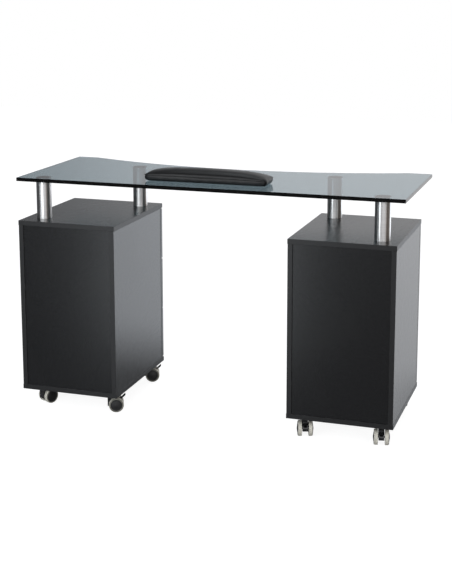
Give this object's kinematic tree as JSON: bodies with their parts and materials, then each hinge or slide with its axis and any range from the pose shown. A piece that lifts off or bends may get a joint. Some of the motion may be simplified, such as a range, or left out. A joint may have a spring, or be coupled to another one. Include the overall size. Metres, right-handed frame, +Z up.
{
  "type": "manicure table",
  "caption": "Manicure table with a smoked glass top curved in on one long side, steel posts, two wheeled pedestals with drawers and a door, and a padded wrist rest.",
  "frame": {"origin": "middle of the footprint, on the floor", "axes": "+X along the table to the door pedestal, +Y towards the manicurist, +Z up"},
  "size_m": [1.3, 0.521, 0.828],
  "materials": {
    "smoked_glass": "tempered smoked glass with polished edges",
    "brushed_stainless": "fine brushed stainless steel",
    "turned_aluminium": "turned",
    "plated_steel": "bright zinc plate",
    "black_leatherette": "black leatherette with a soft gloss",
    "pad_board": "black board",
    "satin_handle": "satin steel",
    "slide_steel": "zinc-plated sheet",
    "white_nylon": "natural nylon",
    "drawer_board": "dark grey melamine",
    "caster_plate_steel": "black zinc plate",
    "black_nylon": "black moulded nylon",
    "wheel_plastic": "light grey tread on a black hub",
    "black_melamine": "black melamine, semi-gloss"
  },
  "bodies": {
    "table": {"glass_top": "smoked_glass", "glass_mount_discs": "brushed_stainless", "post_left_near": "brushed_stainless", "post_left_far": "brushed_stainless", "post_right_near": "brushed_stainless", "post_right_far": "brushed_stainless", "post_plugs": "turned_aluminium", "post_bolts": "plated_steel", "wrist_rest_pad": "black_leatherette", "wrist_rest_base": "pad_board", "left_cabinet_top": "black_melamine", "left_cabinet_bottom": "black_melamine", "left_cabinet_outer_side": "black_melamine", "left_cabinet_inner_side": "black_melamine", "left_cabinet_back": "black_melamine", "right_cabinet_top": "black_melamine", "right_cabinet_bottom": "black_melamine", "right_cabinet_outer_side": "black_melamine", "right_cabinet_inner_side": "black_melamine", "right_cabinet_back": "black_melamine", "carcass_fittings": "plated_steel", "drawer_slide_rails": "slide_steel", "door_pivot_pins": "plated_steel", "shelf": "black_melamine", "caster_plates": "caster_plate_steel"},
    "drawer_bottom": {"drawer_bottom_front": "black_melamine", "drawer_bottom_box": "drawer_board", "drawer_bottom_handle": "satin_handle", "drawer_bottom_runners": "slide_steel"},
    "drawer_middle": {"drawer_middle_front": "black_melamine", "drawer_middle_box": "drawer_board", "drawer_middle_handle": "satin_handle", "drawer_middle_runners": "slide_steel"},
    "drawer_top": {"drawer_top_front": "black_melamine", "drawer_top_box": "drawer_board", "drawer_top_handle": "satin_handle", "drawer_top_runners": "slide_steel"},
    "door": {"door": "black_melamine", "door_handle": "satin_handle", "door_pivot_bushes": "white_nylon"},
    "swivel_left_near_outer": {"caster_left_near_outer_fork": "black_nylon"},
    "wheels_left_near_outer": {"caster_left_near_outer_wheels": "wheel_plastic"},
    "swivel_left_near_inner": {"caster_left_near_inner_fork": "black_nylon"},
    "wheels_left_near_inner": {"caster_left_near_inner_wheels": "wheel_plastic"},
    "brake_left_near_inner": {"caster_left_near_inner_brake_lever": "black_nylon"},
    "swivel_left_far_outer": {"caster_left_far_outer_fork": "black_nylon"},
    "wheels_left_far_outer": {"caster_left_far_outer_wheels": "wheel_plastic"},
    "swivel_left_far_inner": {"caster_left_far_inner_fork": "black_nylon"},
    "wheels_left_far_inner": {"caster_left_far_inner_wheels": "wheel_plastic"},
    "brake_left_far_inner": {"caster_left_far_inner_brake_lever": "black_nylon"},
    "swivel_right_near_inner": {"caster_right_near_inner_fork": "black_nylon"},
    "wheels_right_near_inner": {"caster_right_near_inner_wheels": "wheel_plastic"},
    "brake_right_near_inner": {"caster_right_near_inner_brake_lever": "black_nylon"},
    "swivel_right_near_outer": {"caster_right_near_outer_fork": "black_nylon"},
    "wheels_right_near_outer": {"caster_right_near_outer_wheels": "wheel_plastic"},
    "brake_right_near_outer": {"caster_right_near_outer_brake_lever": "black_nylon"},
    "swivel_right_far_inner": {"caster_right_far_inner_fork": "black_nylon"},
    "wheels_right_far_inner": {"caster_right_far_inner_wheels": "wheel_plastic"},
    "swivel_right_far_outer": {"caster_right_far_outer_fork": "black_nylon"},
    "wheels_right_far_outer": {"caster_right_far_outer_wheels": "wheel_plastic"}
  },
  "joints": [
    {"name": "drawer_bottom_slide", "type": "slide", "parent": "table", "child": "drawer_bottom", "axis": [0, 1, 0], "range_m": [0, 0.26]},
    {"name": "drawer_middle_slide", "type": "slide", "parent": "table", "child": "drawer_middle", "axis": [0, 1, 0], "range_m": [0, 0.26]},
    {"name": "drawer_top_slide", "type": "slide", "parent": "table", "child": "drawer_top", "axis": [0, 1, 0], "range_m": [0, 0.26]},
    {"name": "door_hinge", "type": "hinge", "parent": "table", "child": "door", "pos_m": [0.625, 0.1615, 0.355], "axis": [0, 0, -1], "range_deg": [0, 105]},
    {"name": "swivel_left_near_outer", "type": "hinge", "parent": "table", "child": "swivel_left_near_outer", "pos_m": [-0.585, -0.2035, 0.0552], "axis": [0, 0, 1], "continuous": true},
    {"name": "roll_left_near_outer", "type": "hinge", "parent": "swivel_left_near_outer", "child": "wheels_left_near_outer", "pos_m": [-0.57608, -0.18672, 0.025], "axis": [-0.8829, 0.4695, 0], "continuous": true},
    {"name": "swivel_left_near_inner", "type": "hinge", "parent": "table", "child": "swivel_left_near_inner", "pos_m": [-0.337, -0.2035, 0.0552], "axis": [0, 0, 1], "continuous": true},
    {"name": "roll_left_near_inner", "type": "hinge", "parent": "swivel_left_near_inner", "child": "wheels_left_near_inner", "pos_m": [-0.31964, -0.19577, 0.025], "axis": [-0.4067, 0.9135, 0], "continuous": true},
    {"name": "brake_left_near_inner", "type": "hinge", "parent": "swivel_left_near_inner", "child": "brake_left_near_inner", "pos_m": [-0.31233, -0.19252, 0.037], "axis": [-0.4067, 0.9135, 0], "range_deg": [0, 25]},
    {"name": "swivel_left_far_outer", "type": "hinge", "parent": "table", "child": "swivel_left_far_outer", "pos_m": [-0.585, 0.1245, 0.0552], "axis": [0, 0, 1], "continuous": true},
    {"name": "roll_left_far_outer", "type": "hinge", "parent": "swivel_left_far_outer", "child": "wheels_left_far_outer", "pos_m": [-0.59955, 0.13671, 0.025], "axis": [-0.6428, -0.766, 0], "continuous": true},
    {"name": "swivel_left_far_inner", "type": "hinge", "parent": "table", "child": "swivel_left_far_inner", "pos_m": [-0.337, 0.1245, 0.0552], "axis": [0, 0, 1], "continuous": true},
    {"name": "roll_left_far_inner", "type": "hinge", "parent": "swivel_left_far_inner", "child": "wheels_left_far_inner", "pos_m": [-0.31938, 0.13162, 0.025], "axis": [-0.3746, 0.9272, 0], "continuous": true},
    {"name": "brake_left_far_inner", "type": "hinge", "parent": "swivel_left_far_inner", "child": "brake_left_far_inner", "pos_m": [-0.31197, 0.13461, 0.037], "axis": [-0.3746, 0.9272, 0], "range_deg": [0, 25]},
    {"name": "swivel_right_near_inner", "type": "hinge", "parent": "table", "child": "swivel_right_near_inner", "pos_m": [0.337, -0.2035, 0.0552], "axis": [0, 0, 1], "continuous": true},
    {"name": "roll_right_near_inner", "type": "hinge", "parent": "swivel_right_near_inner", "child": "wheels_right_near_inner", "pos_m": [0.34287, -0.22157, 0.025], "axis": [0.9511, 0.309, 0], "continuous": true},
    {"name": "brake_right_near_inner", "type": "hinge", "parent": "swivel_right_near_inner", "child": "brake_right_near_inner", "pos_m": [0.34534, -0.22918, 0.037], "axis": [0.9511, 0.309, 0], "range_deg": [0, 25]},
    {"name": "swivel_right_near_outer", "type": "hinge", "parent": "table", "child": "swivel_right_near_outer", "pos_m": [0.585, -0.2035, 0.0552], "axis": [0, 0, 1], "continuous": true},
    {"name": "roll_right_near_outer", "type": "hinge", "parent": "swivel_right_near_outer", "child": "wheels_right_near_outer", "pos_m": [0.58895, -0.22209, 0.025], "axis": [0.9781, 0.2079, 0], "continuous": true},
    {"name": "brake_right_near_outer", "type": "hinge", "parent": "swivel_right_near_outer", "child": "brake_right_near_outer", "pos_m": [0.59061, -0.22991, 0.037], "axis": [0.9781, 0.2079, 0], "range_deg": [0, 25]},
    {"name": "swivel_right_far_inner", "type": "hinge", "parent": "table", "child": "swivel_right_far_inner", "pos_m": [0.337, 0.1245, 0.0552], "axis": [0, 0, 1], "continuous": true},
    {"name": "roll_right_far_inner", "type": "hinge", "parent": "swivel_right_far_inner", "child": "wheels_right_far_inner", "pos_m": [0.32808, 0.14128, 0.025], "axis": [-0.8829, -0.4695, 0], "continuous": true},
    {"name": "swivel_right_far_outer", "type": "hinge", "parent": "table", "child": "swivel_right_far_outer", "pos_m": [0.585, 0.1245, 0.0552], "axis": [0, 0, 1], "continuous": true},
    {"name": "roll_right_far_outer", "type": "hinge", "parent": "swivel_right_far_outer", "child": "wheels_right_far_outer", "pos_m": [0.5804, 0.14294, 0.025], "axis": [-0.9703, -0.2419, 0], "continuous": true}
  ]
}
